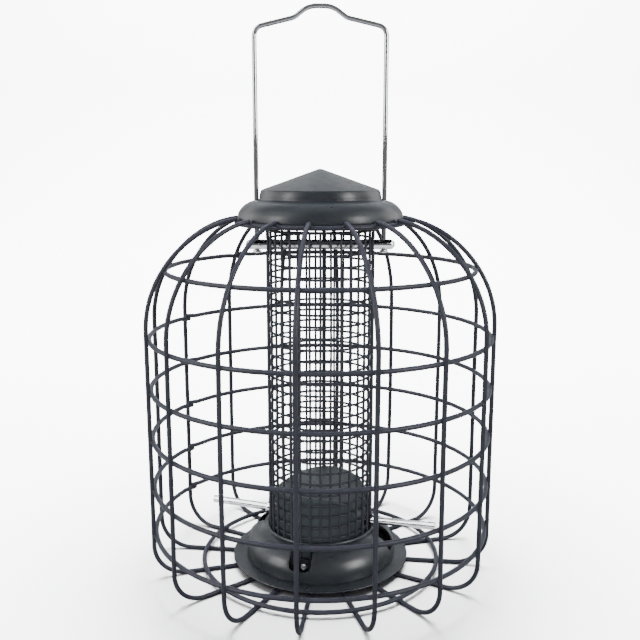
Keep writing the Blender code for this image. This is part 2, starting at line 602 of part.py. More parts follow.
def make_lid(material):
    """Pressed cap that slides on the handle's legs: cone, band, rolled shoulder and hem."""
    cone_radius = LID_BAND_RADIUS - LID_EDGE_ROUND - LID_BAND_TAPER
    cone_foot = LID_HEM + LID_CONE_RISE
    band_foot = LID_HEM + LID_BAND_RISE
    top = LID_HEM + LID_HEIGHT
    outline = [(0, top), (LID_TIP_RADIUS, top - LID_TIP_DROP), (cone_radius, cone_foot),
               (cone_radius + LID_EDGE_ROUND, cone_foot - LID_EDGE_ROUND)]
    outline += quarter_ellipse((LID_BAND_RADIUS, band_foot), (LID_RADIUS, LID_HEM + LID_ROLL_RISE),
                               LID_ROLL_STEPS)
    outline.append((LID_RADIUS - LID_HEM_INSET, LID_HEM))
    slide = bpy.data.objects.new("lid_slide", None)
    bpy.context.collection.objects.link(slide)
    lid = add_object("lid", spun(outline, PRESSED_SEGMENTS, is_sheet=True), material, parent=slide)
    give_wall(lid, LID_WALL, -1)
    for side, name in ((-1, "left"), (1, "right")):
        centre = Vector((side * HANDLE_HALF_WIDTH, 0, band_foot))
        length = 2 * (LID_BAND_RISE - LID_ROLL_RISE)
        cut(lid, rod_cutter(f"leg_hole_{name}", HANDLE_RADIUS + BORE_CLEARANCE, centre, UP, length, material))


def baffle_height(x, y):
    """The baffle's top arches down from its ridge towards both perches."""
    along_perch = x * math.cos(PERCH_AZIMUTH) + y * math.sin(PERCH_AZIMUTH)
    return TRAY_FLOOR + BAFFLE_RIDGE_RISE - BAFFLE_SIDE_DROP * (along_perch / BAFFLE_RADIUS) ** 2


def make_baffle(material):
    """An upturned plastic cup in the foot of the tube, with the perches and screws in its skirt."""
    shape = bmesh.new()
    middle = shape.verts.new((0, 0, baffle_height(0, 0)))
    rows = []
    levels = [(BAFFLE_RADIUS * share, 0) for share in BAFFLE_RING_SHARES]
    levels += [(BAFFLE_RADIUS - BAFFLE_EDGE_ROUND, 0), (BAFFLE_RADIUS, BAFFLE_EDGE_ROUND), (BAFFLE_RADIUS, None)]
    for radius, drop in levels:
        row = []
        for x, y, foot in circle_path(radius, TUBE_FOOT, BAFFLE_SEGMENTS):
            height = foot if drop is None else baffle_height(x, y) - drop
            row.append(shape.verts.new((x, y, height)))
        rows.append(row)
    for i in range(BAFFLE_SEGMENTS):
        shape.faces.new((middle, rows[0][i], rows[0][(i + 1) % BAFFLE_SEGMENTS]))
    for first, second in zip(rows, rows[1:]):
        bridge(shape, first, second)
    baffle = add_object("seed_baffle", shape, material)
    give_wall(baffle, BAFFLE_WALL, -1)
    for k in range(2):
        for name, azimuth, height, radius in (("stud", PERCH_AZIMUTH, PERCH_HEIGHT, STUD_RADIUS),
                                              ("screw", SCREW_AZIMUTH, SCREW_HEIGHT, SCREW_RADIUS)):
            cut(baffle, screw_hole(f"{name}_hole_{k + 1}", azimuth + k * FULL_TURN / 2,
                                   BAFFLE_RADIUS - BAFFLE_WALL, BAFFLE_RADIUS, radius + GAP, height, material))


def lay_radially(azimuth, height):
    """Stands a turned piece, whose axis is Z, along a radius at a height."""
    return (Matrix.Rotation(azimuth, 4, "Z") @ Matrix.Translation((0, 0, height))
            @ Matrix.Rotation(FULL_TURN / 4, 4, "Y"))


def make_perches(material):
    shoulder = CLAMP_FACE + COLLAR_LENGTH + GAP
    stud_start = BAFFLE_RADIUS - BAFFLE_WALL - STUD_LENGTH_INSIDE
    tip = CLAMP_FACE + PERCH_REACH
    rod = [(0, stud_start), (STUD_RADIUS, stud_start), (STUD_RADIUS, shoulder), (PERCH_RADIUS, shoulder),
           (PERCH_RADIUS, tip - PERCH_TIP_ROUND), (PERCH_RADIUS - PERCH_TIP_ROUND, tip), (0, tip)]
    bore = STUD_RADIUS + GAP
    collar_end = CLAMP_FACE + COLLAR_LENGTH
    collar = [(bore, CLAMP_FACE), (COLLAR_RADIUS, CLAMP_FACE), (COLLAR_RADIUS, collar_end - COLLAR_BEVEL),
              (COLLAR_RADIUS - COLLAR_BEVEL, collar_end), (bore, collar_end)]
    for name, azimuth in (("right", PERCH_AZIMUTH), ("left", PERCH_AZIMUTH + FULL_TURN / 2)):
        place = lay_radially(azimuth, PERCH_HEIGHT)
        add_object(f"perch_{name}", spun(rod, ROD_SEGMENTS), material, place)
        add_object(f"perch_collar_{name}", spun(collar, ROD_SEGMENTS), material, place)


def make_screws(material):
    """Pan head screws that clamp the mesh between the tray's tabs and the baffle's skirt."""
    head_seat = CLAMP_FACE + TAB_THICKNESS + GAP
    start = BAFFLE_RADIUS - BAFFLE_WALL - STUD_LENGTH_INSIDE
    screw = [(0, start), (SCREW_RADIUS, start), (SCREW_RADIUS, head_seat), (SCREW_HEAD_RADIUS, head_seat),
             (SCREW_HEAD_RADIUS, head_seat + SCREW_HEAD_HEIGHT / 2),
             (SCREW_HEAD_RADIUS / 2, head_seat + SCREW_HEAD_HEIGHT), (0, head_seat + SCREW_HEAD_HEIGHT)]
    for name, azimuth in (("front", SCREW_AZIMUTH), ("back", SCREW_AZIMUTH + FULL_TURN / 2)):
        add_object(f"base_screw_{name}", spun(screw, ROD_SEGMENTS), material,
                   lay_radially(azimuth, SCREW_HEIGHT))


def main():
    clear_scene()
    powder_coat = make_material("powder_coated_steel", (0.034, 0.039, 0.043), 0.42, 0.0)
    cage_coat = make_material("coated_wire", (0.03, 0.032, 0.042), 0.35, 0.0)
    mesh_coat = make_material("coated_mesh", (0.016, 0.017, 0.018), 0.4, 0.0)
    chrome = make_material("chrome_plate", (0.78, 0.78, 0.79), 0.08, 1.0)
    steel = make_material("zinc_plated_steel", (0.55, 0.56, 0.58), 0.3, 1.0)
    plastic = make_material("moulded_plastic", (0.05, 0.058, 0.06), 0.22, 0.0)
    make_cage(cage_coat)
    make_hub(cage_coat, steel)
    make_tray(powder_coat)
    make_dome(powder_coat)
    make_mesh_uprights(mesh_coat)
    make_mesh_hoops(mesh_coat)
    make_baffle(plastic)
    make_perches(chrome)
    make_screws(steel)
    make_crossbar(chrome)
    make_handle(chrome)
    make_lid(powder_coat)


main()
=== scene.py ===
import math

import bmesh
import bpy
import numpy as np
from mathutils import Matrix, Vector


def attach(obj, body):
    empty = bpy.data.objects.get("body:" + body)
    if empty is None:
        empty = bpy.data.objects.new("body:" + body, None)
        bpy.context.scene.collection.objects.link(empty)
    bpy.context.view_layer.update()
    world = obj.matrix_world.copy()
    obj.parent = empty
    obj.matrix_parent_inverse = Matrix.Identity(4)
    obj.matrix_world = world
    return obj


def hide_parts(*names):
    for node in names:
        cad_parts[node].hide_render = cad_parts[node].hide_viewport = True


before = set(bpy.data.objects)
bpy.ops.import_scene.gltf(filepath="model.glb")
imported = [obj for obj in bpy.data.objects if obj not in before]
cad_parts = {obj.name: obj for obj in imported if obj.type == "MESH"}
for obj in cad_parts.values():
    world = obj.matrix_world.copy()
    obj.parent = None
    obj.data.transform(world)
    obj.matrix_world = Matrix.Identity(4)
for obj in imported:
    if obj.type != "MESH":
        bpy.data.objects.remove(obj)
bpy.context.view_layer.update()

# Lengths are in millimetres until a mesh is made. The origin is on the floor under the tube's axis,
# +Z is up and the front faces -Y. Azimuth is measured about +Z from +X.
MM = 0.001
FULL_TURN = 2 * math.pi
UP = np.array([0.0, 0.0, 1.0])
FRONT = np.array([0.0, -1.0, 0.0])
SHARP_ANGLE = math.radians(38)
MERGE_DISTANCE = 0.002 * MM
random = np.random.default_rng(11)
pieces = []                            # every visible piece, for the lights that reach only some

# The cage
WIRE_RADIUS = 1.4                      # with its thick coat
RING_WIRE_RADIUS = 1.45
UPRIGHT_COUNT = 16
FIRST_UPRIGHT = math.radians(-74.3)
CAGE_RADIUS = 108.0
FOOT_BEND_RADIUS = 20.0
SPOKE_END_RADIUS = 14.0
WAIST_TOP = 158.0
CAGE_TOP_RADIUS = 51.75
CAGE_TOP_HEIGHT = 223.9
SHOULDER_RISE = 37.0                   # the two handles of the shoulder's curve
SHOULDER_REACH = 25.5
SHOULDER_SLOPE = math.radians(5)
SHOULDER_ROWS = 44
UPRIGHT_ROW_STEP = 2.5
RING_RADIUS = 106.0                    # the rings lie welded inside the uprights
SIDE_RINGS = {2: 152.1, 3: 120.4, 4: 89.6, 5: 57.6, 6: 28.0}      # height of each
SHOULDER_RING = (95.15, 193.2)         # radius and height
TOP_RING = (51.3, 221.35)
FLOOR_RING = (76.3, 3.65)
RING_ROWS = 260
RING_LAP = 4.5                         # how far a ring's ends lap
RING_LAP_REACH = 12.0                  # how far from its end a lap leaves the ring's level
RING_LAP_LIFT = 0.8                    # and by how many wire radii
SIDE_RING_LAPS = {1: 127.6, 2: 150.4, 3: 149.9, 4: 150.2, 5: 150.5, 6: 149.7}     # azimuths in degrees
HIDDEN_LAP = 100                       # azimuth of the other rings' laps, which the photo doesn't show
WELD_SIZE = np.array([1.75, 1.85, 1.2])            # half axes, the last one square to the upright

# The tube of welded mesh
MESH_WIRE_RADIUS = 0.75
MESH_WIRE_SIDES = 8
MESH_COUNT = 33                        # odd, so that the lines in front and behind interleave
MESH_RADIUS = 32.98
MESH_BAR_CLEARANCE = 0.4               # between the cut uprights and the cross bar
MESH_RIM_ROWS = 128
HOOP_RADIUS = 31.8
HOOP_ROWS = 130
HOOP_LAP = 6.0
HOOP_BAR_CLEARANCE = 0.92              # from the bar's surface to the middle of the next hoop
LOWEST_HOOP_RISE = 5.6                 # above the tube's foot
SEAM_OFFSET = 1.9                      # of the seam wire from the middle of the back
TUBE_FOOT = 7.6
TUBE_TOP = 218.07
BAR_HEIGHT = 207.67
BAR_RADIUS = 3.1
HOOPS_BELOW_BAR = 28

# The base, the baffle and the perches
SHEET = 1.0                            # thickness of the pressed steel
TRAY_FLOOR = 7.3
TRAY_RIM = 5.4                         # height of the brim
TRAY_RADIUS = 57.2
TRAY_WELL = 5.15                       # height of the seat on the hub plate
TAB_HALF_WIDTH = 4.0
TAB_RISE = 7.8                         # above the tray's floor
TAB_FLARE = 2.7
DOME_RADIUS = 48.6
DOME_NECK_RADIUS = 34.4
PORT_SILL = TRAY_FLOOR + 5.2
PORT_HALF_WIDTH = 7.1
PORT_CORNER = 4.0
PERCH_AZIMUTH = math.radians(-16.875)
PERCH_LENGTH = 42                      # outside the mesh
COLLAR_LENGTH = 3.2
PERCH_HEIGHT = 30.2
PERCH_RISE = 0.028                     # per millimetre beyond the collar
SCREW_AZIMUTH = PERCH_AZIMUTH - FULL_TURN / 4
SCREW_HEIGHT = 9.95
CLAMP_FACE = 34.0                      # where collars and tabs lie against the mesh
BAFFLE_RADIUS = 30.3
BAFFLE_WALL = 1.6
ROD_START = BAFFLE_RADIUS - BAFFLE_WALL - 2.5      # inner ends of the perches and the base's screws

# The lid and the handle
LID_HEM = 222.62
LEG_X = 39.2
BAR_OVERHANG = 7.0                     # beyond the handle's legs
HANDLE_RADIUS = 1.45
LEG_HOLE_RADIUS = 1.8


def colour(text):
    """Linear colour of an sRGB hex value: the sRGB curve is undone for each of the three shares."""
    share = np.array([int(text[i:i + 2], 16) for i in (1, 3, 5)]) / 255
    linear = np.where(share <= 0.04045, share / 12.92, ((share + 0.055) / 1.055) ** 2.4)
    return (*linear, 1.0)


def add(tree, kind, settings=(), links=()):
    """Adds a node, gives it its settings and sockets, and links its inputs to other nodes' outputs."""
    node = tree.nodes.new(kind)
    for key, value in dict(settings).items():
        if isinstance(key, str) and hasattr(node, key):
            setattr(node, key, value)
        else:
            node.inputs[key].default_value = value
    for key, output in dict(links).items():
        tree.links.new(output, node.inputs[key])
    return node


def start_material(name, settings):
    """A new material, its tree, its shader and the object coordinates its patterns lie on."""
    material = bpy.data.materials.new(name)
    material.use_nodes = True
    tree = material.node_tree
    shader = tree.nodes["Principled BSDF"]
    for key, value in settings.items():
        shader.inputs[key].default_value = value
    place = add(tree, "ShaderNodeTexCoord").outputs["Object"]
    return material, tree, shader, place


def mottle(tree, place, size, low, high, detail=2.0):
    """Noise whose patches are size millimetres across, spread from low to high."""
    noise = add(tree, "ShaderNodeTexNoise", {"Scale": 1 / (size * MM), "Detail": detail}, {"Vector": place})
    spread = add(tree, "ShaderNodeMapRange", {"clamp": False, "From Min": 0.3, "From Max": 0.7,
                                              "To Min": low, "To Max": high}, {"Value": noise.outputs["Fac"]})
    return spread.outputs["Result"]


def powder_coat(name, dark, light, roughness, gloss, peel_size, peel_depth):
    """Polyester powder coat baked on steel: satin, with the faint orange peel of melted powder.

    Its colour drifts a little in patches of 16 mm, and its gloss in patches of 5 mm.
    """
    material, tree, shader, place = start_material(name, {"Specular IOR Level": gloss})
    patches = mottle(tree, place, 16, 0, 1)
    tint = add(tree, "ShaderNodeMix", {"data_type": "RGBA", 6: colour(dark), 7: colour(light)}, {0: patches})
    tree.links.new(tint.outputs[2], shader.inputs["Base Color"])
    tree.links.new(mottle(tree, place, 5, roughness - 0.04, roughness + 0.05), shader.inputs["Roughness"])
    peel = mottle(tree, place, peel_size, 0, 1, 1.0)
    bump = add(tree, "ShaderNodeBump", {"Strength": 1.0, "Distance": peel_depth * MM}, {"Height": peel})
    tree.links.new(bump.outputs["Normal"], shader.inputs["Normal"])
    return material


def bright_metal(name, tone, roughness, smear_size, grain):
    """Plated steel: a mirror whose gloss is broken by faint smears and the drawn grain under the plating.

    The real grain is finer than a pixel. It is drawn in ripples of 1.5 mm so that it shows.
    """
    material, tree, shader, place = start_material(name, {"Base Color": colour(tone), "Metallic": 1.0})
    tree.links.new(mottle(tree, place, smear_size, roughness, roughness * 2), shader.inputs["Roughness"])
    ripple = mottle(tree, place, 1.5, 0, 1)
    bump = add(tree, "ShaderNodeBump", {"Strength": 1.0, "Distance": grain * MM}, {"Height": ripple})
    tree.links.new(bump.outputs["Normal"], shader.inputs["Normal"])
    return material


def moulded_plastic(name, dark, light):
    """Injection moulded polypropylene: half glossy, a little uneven where the melt shrank."""
    material, tree, shader, place = start_material(name, {"IOR": 1.49, "Specular IOR Level": 0.35})
    flow = mottle(tree, place, 22, 0, 1)
    tint = add(tree, "ShaderNodeMix", {"data_type": "RGBA", 6: colour(dark), 7: colour(light)}, {0: flow})
    tree.links.new(tint.outputs[2], shader.inputs["Base Color"])
    tree.links.new(mottle(tree, place, 3, 0.33, 0.4), shader.inputs["Roughness"])
    sink = mottle(tree, place, 9, 0, 1, 0.0)
    bump = add(tree, "ShaderNodeBump", {"Strength": 1.0, "Distance": 0.02 * MM}, {"Height": sink})
    tree.links.new(bump.outputs["Normal"], shader.inputs["Normal"])
    return material


def paper(name, seen_tone, lit_tone, near_glow, far_glow):
    """Matt photographic paper: white in the picture, while the feeder is lit as if it stood on grey paper.

    Outside the cage's shade a painted glow, which the camera alone sees, lifts it, and a second one further
    out, where the lights fall off, keeps it as white as the studio behind it.
    """
    material, tree, shader, place = start_material(name, {"Roughness": 0.9, "Specular IOR Level": 0.1,
                                                          "Emission Color": colour("#ffffff")})
    seen = add(tree, "ShaderNodeLightPath").outputs["Is Camera Ray"]
    tint = add(tree, "ShaderNodeMix", {"data_type": "RGBA", 6: colour(lit_tone), 7: colour(seen_tone)},
               {0: seen})
    tree.links.new(tint.outputs[2], shader.inputs["Base Color"])
    # Each painted glow rises between two distances from the tube's foot, in metres
    away = add(tree, "ShaderNodeVectorMath", {"operation": "LENGTH"}, {0: place})
    near, far = (add(tree, "ShaderNodeMapRange", {"interpolation_type": "SMOOTHSTEP", "From Min": start,
                                                  "From Max": end, "To Max": glow},
                     {"Value": away.outputs["Value"]}).outputs["Result"]
                 for start, end, glow in ((0.1, 0.32, near_glow), (0.3, 1.7, far_glow)))
    glow = add(tree, "ShaderNodeMath", {"operation": "ADD"}, {0: near, 1: far})
    shown = add(tree, "ShaderNodeMath", {"operation": "MULTIPLY"}, {0: glow.outputs[0], 1: seen})
    tree.links.new(shown.outputs[0], shader.inputs["Emission Strength"])
    return material


# The coat is darkest and smoothest on the pressed steel, bluer and duller where it lies thick on the wires,
# and nearly matt on the fine mesh
slate_coat = powder_coat("slate_powder_coat_on_steel", "#121417", "#15181b", 0.32, 0.43, 1.6, 0.008)
wire_coat = powder_coat("thick_powder_coat_on_wire", "#191a20", "#1d1e25", 0.42, 0.33, 2.2, 0.015)
mesh_coat = powder_coat("black_powder_coat_on_mesh", "#202127", "#25262c", 0.5, 0.27, 1.4, 0.005)
chrome = bright_metal("chrome_plated_wire", "#e2e3e6", 0.06, 6, 0.004)
zinc = bright_metal("zinc_plated_screw_steel", "#c9ccd0", 0.28, 2, 0.01)
plastic = moulded_plastic("moulded_polypropylene", "#252a2c", "#2b3031")


def grid_faces(rows, columns, wrap_rows, wrap_columns):
    """Quads between the neighbours of a grid whose points are numbered row by row."""
    i = np.arange(rows if wrap_rows else rows - 1)[:, None]
    j = np.arange(columns if wrap_columns else columns - 1)[None, :]
    below, right = (i + 1) % rows, (j + 1) % columns
    return np.stack([i * columns + j, i * columns + right, below * columns + right, below * columns + j], -1)


def surface(name, grids, material=None):
    """Makes one object of several grids of points.

    A grid is (points, wrap_rows, wrap_columns) or has a fourth part, a mask of the faces that are kept.
    """
    points, faces, start = [], [], 0
    for grid, wrap_rows, wrap_columns, *mask in grids:
        rows, columns = grid.shape[:2]
        quads = grid_faces(rows, columns, wrap_rows, wrap_columns)
        quads = quads[mask[0]] if mask else quads.reshape(-1, 4)
        points.append(grid.reshape(-1, 3))
        faces.append(quads + start)
        start += rows * columns
    mesh = bpy.data.meshes.new(name)
    mesh.from_pydata(np.concatenate(points) * MM, [], np.concatenate(faces))
    shape = bmesh.new()
    shape.from_mesh(mesh)
    bmesh.ops.remove_doubles(shape, verts=shape.verts, dist=MERGE_DISTANCE)
    bmesh.ops.delete(shape, geom=[v for v in shape.verts if not v.link_faces], context="VERTS")
    bmesh.ops.recalc_face_normals(shape, faces=shape.faces)
    shape.to_mesh(mesh)
    shape.free()
    mesh.shade_smooth()
    mesh.set_sharp_from_angle(angle=SHARP_ANGLE)
    if material:
        mesh.materials.append(material)
    made = bpy.data.objects.new(name, mesh)
    bpy.context.scene.collection.objects.link(made)
    return made


def pierced(target, cutter):
    """Takes the cutter's space out of a piece, and keeps the result as the piece's own mesh."""
    bore = target.modifiers.new("bore", "BOOLEAN")
    bore.object = cutter
    graph = bpy.context.evaluated_depsgraph_get()
    target.data = bpy.data.meshes.new_from_object(target.evaluated_get(graph))
    target.data.set_sharp_from_angle(angle=SHARP_ANGLE)
    target.modifiers.remove(bore)
    bpy.data.objects.remove(cutter)


def piece(name, grids, material, slot, body, *nodes, modifiers=()):
    """Makes one object, hangs it on the body that carries it and hides the nodes it stands for."""
    made = surface(name, grids, material)
    for kind, settings in modifiers:
        modifier = made.modifiers.new(kind.lower(), kind)
        for key, value in settings.items():
            setattr(modifier, key, value)
    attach(made, body)
    if nodes:
        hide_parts(*nodes)
    pieces.append(made)
    return made


def unit(vectors):
    """The vectors, each over its own length."""
    return vectors / np.linalg.norm(vectors, axis=-1, keepdims=True)


def swept(path, side, section, closed=False):
    """Carries a section along a path.

    Each point is the path's, plus the section's first share along side, made square to the path, and its
    second share along the direction square to both. section is (corners, 2), or (rows, corners, 2) where
    it changes on its way.
    """
    if closed:
        step = np.roll(path, -1, 0) - np.roll(path, 1, 0)
    else:
        step = np.gradient(path, axis=0)
    along = unit(step)
    across = unit(np.cross(along, side))
    lift = np.cross(across, along)
    section = np.broadcast_to(section, (len(path),) + section.shape[-2:])
    return (path[:, None] + section[..., :1] * lift[:, None] + section[..., 1:] * across[:, None],
            closed, True)


def circle(sides):
    """Unit circle: cosine and sine of equal steps of a full turn."""
    angle = FULL_TURN * np.arange(sides) / sides
    return np.stack([np.cos(angle), np.sin(angle)], -1)


# How a cut wire end is rounded: depth and radius of its rows, as shares of the wire's radius
END_DEPTH = np.array([0.0, 0.0, 0.1, 0.32, 0.7])
END_WIDTH = np.array([0.0, 0.55, 0.84, 0.97, 1.0])


def wire(path, side, radius, sides=14, closed=False):
    """A round wire of one radius, whose ends are flat cuts with rounded edges."""
    if closed:
        return swept(path, side, radius * circle(sides), True)
    first, last = unit(path[1] - path[0]), unit(path[-1] - path[-2])
    start = path[0] + first * radius * END_DEPTH[:, None]
    end = path[-1] - last * radius * END_DEPTH[::-1, None]
    rows = np.concatenate([start, path[1:-1], end])
    widths = np.concatenate([END_WIDTH, np.ones(len(path) - 2), END_WIDTH[::-1]])
    along = np.concatenate([np.tile(first, (len(start), 1)), unit(np.gradient(path, axis=0))[1:-1],
                            np.tile(last, (len(end), 1))])
    across = unit(np.cross(along, side))
    lift = np.cross(across, along)
    ring = radius * circle(sides)[None] * widths[:, None, None]
    return rows[:, None] + ring[..., :1] * lift[:, None] + ring[..., 1:] * across[:, None], False, True


def turned(profile, columns=96, closed=True):
    """Turns an outline of (radius, height) about Z: x = r cos a, y = r sin a."""
    round_z = circle(columns)
    grid = np.stack([profile[:, None, 0] * round_z[None, :, 0], profile[:, None, 0] * round_z[None, :, 1],
                     np.broadcast_to(profile[:, None, 1], (len(profile), columns))], -1)
    return grid, closed, True


def arc(centre, radius, start, end, steps):
    """Points (x, y) on a circle, from one angle in degrees to another."""
    angle = np.radians(np.linspace(start, end, steps + 1))
    return np.stack([centre[0] + radius * np.cos(angle), centre[1] + radius * np.sin(angle)], -1)


def rounded(corners, radii, steps=5):
    """A line through corners, each of the inner ones turned with an arc of its own radius."""
    corners = np.asarray(corners, float)
    rows = [corners[:1]]
    for before, corner, after, radius in zip(corners, corners[1:], corners[2:], radii):
        arriving, leaving = unit(corner - before), unit(after - corner)
        turn = math.acos(np.clip(arriving @ leaving, -1, 1))
        centre = corner + unit(leaving - arriving) * radius / math.cos(turn / 2)
        start = corner - arriving * radius * math.tan(turn / 2) - centre
        end = corner + leaving * radius * math.tan(turn / 2) - centre
        share = np.linspace(0, 1, steps + 1)[:, None]
        # The arc's points: start sin((1 - share) turn) + end sin(share turn), over sin(turn)
        swing = start * np.sin((1 - share) * turn) + end * np.sin(share * turn)
        rows.append(centre + swing / math.sin(turn))
    rows.append(corners[-1:])
    return np.concatenate(rows)


def spaced(path, step):
    """The same line with points at equal steps of arc length."""
    length = np.concatenate([[0], np.cumsum(np.linalg.norm(np.diff(path, axis=0), axis=1))])
    at = np.linspace(0, length[-1], max(2, int(round(length[-1] / step)) + 1))
    return np.stack([np.interp(at, length, path[:, k]) for k in range(path.shape[1])], -1)


def turn_about_z(points, azimuth):
    """Rotates points about Z."""
    c, s = math.cos(azimuth), math.sin(azimuth)
    return points @ np.array([[c, s, 0], [-s, c, 0], [0, 0, 1]])


def lay(grid, azimuth, height):
    """Lays a turned piece, whose axis is Z, along a radius at a height: (x, y, z) becomes (z, y, -x)."""
    points, *rest = grid
    laid = points[..., [2, 1, 0]] * np.array([1, 1, -1]) + UP * height
    return (turn_about_z(laid, azimuth), *rest)


def sway(count, size, waves):
    """Hand-bent unevenness: a few sine waves of random phase that die out at both ends.

    A wave is half the length over its number long, and its height falls with the number.
    """
    share = np.linspace(0, 1, count)
    total = sum(np.sin(FULL_TURN * (share * k / 2 + random.random())) / k for k in waves)
    return size * total * np.sin(math.pi * share) ** 0.5


# The camera stands where the photographer's did, half a metre in front and tipped down
camera = bpy.data.objects.new("camera", bpy.data.cameras.new("camera"))
camera.data.sensor_width = 36.0
camera.data.lens = 45.81
camera.data.shift_x = -0.0005
camera.location = (0, -504.4 * MM, 255 * MM)
camera.rotation_euler = (math.radians(90 - 10.66), 0, 0)
camera.data.clip_start = 0.01
bpy.context.scene.collection.objects.link(camera)
bpy.context.scene.camera = camera


def make_cage():
    """The bent uprights, the rings inside them and a weld at every crossing."""
    floor = [(SPOKE_END_RADIUS, WIRE_RADIUS), (CAGE_RADIUS, WIRE_RADIUS), (CAGE_RADIUS, WAIST_TOP)]
    lower = spaced(rounded(floor, [FOOT_BEND_RADIUS], 24), UPRIGHT_ROW_STEP)
    share = np.linspace(0, 1, SHOULDER_ROWS)[1:, None]
    rest = 1 - share
    waist, top = np.array([CAGE_RADIUS, WAIST_TOP]), np.array([CAGE_TOP_RADIUS, CAGE_TOP_HEIGHT])
    lean = np.array([math.cos(SHOULDER_SLOPE), -math.sin(SHOULDER_SLOPE)])
    # Cubic curve: each handle weighs in by its share of the binomial
    shoulder = (waist * rest ** 3 + (waist + [0, SHOULDER_RISE]) * 3 * rest ** 2 * share
                + (top + lean * SHOULDER_REACH) * 3 * rest * share ** 2 + top * share ** 3)
    upright = np.concatenate([lower, shoulder])
    azimuths = FIRST_UPRIGHT + FULL_TURN * np.arange(UPRIGHT_COUNT) / UPRIGHT_COUNT
    for number, azimuth in enumerate(azimuths, 1):
        count = len(upright)
        path = np.stack([upright[:, 0] + sway(count, size=0.25, waves=(3, 5)),
                         sway(count, size=0.4, waves=(2, 3, 5)), upright[:, 1]], -1)
        grid = wire(turn_about_z(path, azimuth), turn_about_z(-FRONT, azimuth), WIRE_RADIUS)
        piece(f"cage_wire_{number:02d}_round", [grid], wire_coat, "cage_coat", "feeder",
              f"cage_wire_{number:02d}")

    rings = {f"cage_side_ring_{k}": (RING_RADIUS, height, SIDE_RING_LAPS[k])
             for k, height in SIDE_RINGS.items()}
    rings["cage_side_ring_1"] = (*SHOULDER_RING, SIDE_RING_LAPS[1])
    rings["cage_top_ring"] = (*TOP_RING, HIDDEN_LAP)
    rings["cage_floor_ring"] = (*FLOOR_RING, HIDDEN_LAP)
    for name, (radius, height, lap_azimuth) in rings.items():
        lap = RING_LAP / radius
        start = math.radians(lap_azimuth) - lap / 2
        azimuth = start + np.linspace(0, 1, RING_ROWS) * (FULL_TURN + lap)
        # The ends lap one above the other, to either side of the ring's own level
        reach = RING_LAP_REACH / radius
        near_start = np.clip(1 - (azimuth - start) / reach, 0, 1)
        near_end = np.clip(1 - (start + FULL_TURN + lap - azimuth) / reach, 0, 1)
        smooth = [n * n * (3 - 2 * n) for n in (near_start, near_end)]
        level = (height + RING_LAP_LIFT * RING_WIRE_RADIUS * (smooth[1] - smooth[0])
                 + sway(RING_ROWS, size=0.12, waves=(4, 6)))
        out = radius + sway(RING_ROWS, size=0.15, waves=(5, 8))
        path = np.stack([out * np.cos(azimuth), out * np.sin(azimuth), level], -1)
        piece(f"{name}_round", [wire(path, UP, RING_WIRE_RADIUS)], wire_coat, "cage_coat", "feeder", name)

    # A weld is a small ellipsoid at the contact of ring and upright: centre + axes times a unit sphere.
    # Each crossing has its radius, its height and the upright's slope there in degrees.
    crossings = [(RING_RADIUS + 1.3, height, 90.0) for height in SIDE_RINGS.values()]
    crossings += [(SHOULDER_RING[0] + 1.1, SHOULDER_RING[1] + 0.7, 60.0),
                  (TOP_RING[0] + 0.1, TOP_RING[1] + 1.2, 5.0), (FLOOR_RING[0], 2.5, 0.0)]
    lift = np.radians(np.linspace(-90, 90, 7))
    turn = circle(8)
    ball = np.stack([np.cos(lift)[:, None] * turn[None, :, 0], np.cos(lift)[:, None] * turn[None, :, 1],
                     np.broadcast_to(np.sin(lift)[:, None], (7, 8))], -1)
    welds = []
    for radius, height, slope in crossings:
        tip = math.radians(slope)
        for azimuth in azimuths:
            blob = ball * WELD_SIZE * (0.95 + 0.15 * random.random())
            # Its flat side faces the contact, tipped with the upright's own slope
            tipped = np.stack([blob[..., 0] * math.cos(tip) + blob[..., 2] * math.sin(tip), blob[..., 1],
                               -blob[..., 0] * math.sin(tip) + blob[..., 2] * math.cos(tip)], -1)
            placed = tipped + np.array([radius, 0, height])
            welds.append((turn_about_z(placed, azimuth), False, True))
    piece("cage_welds", welds, wire_coat, "cage_coat", "feeder")


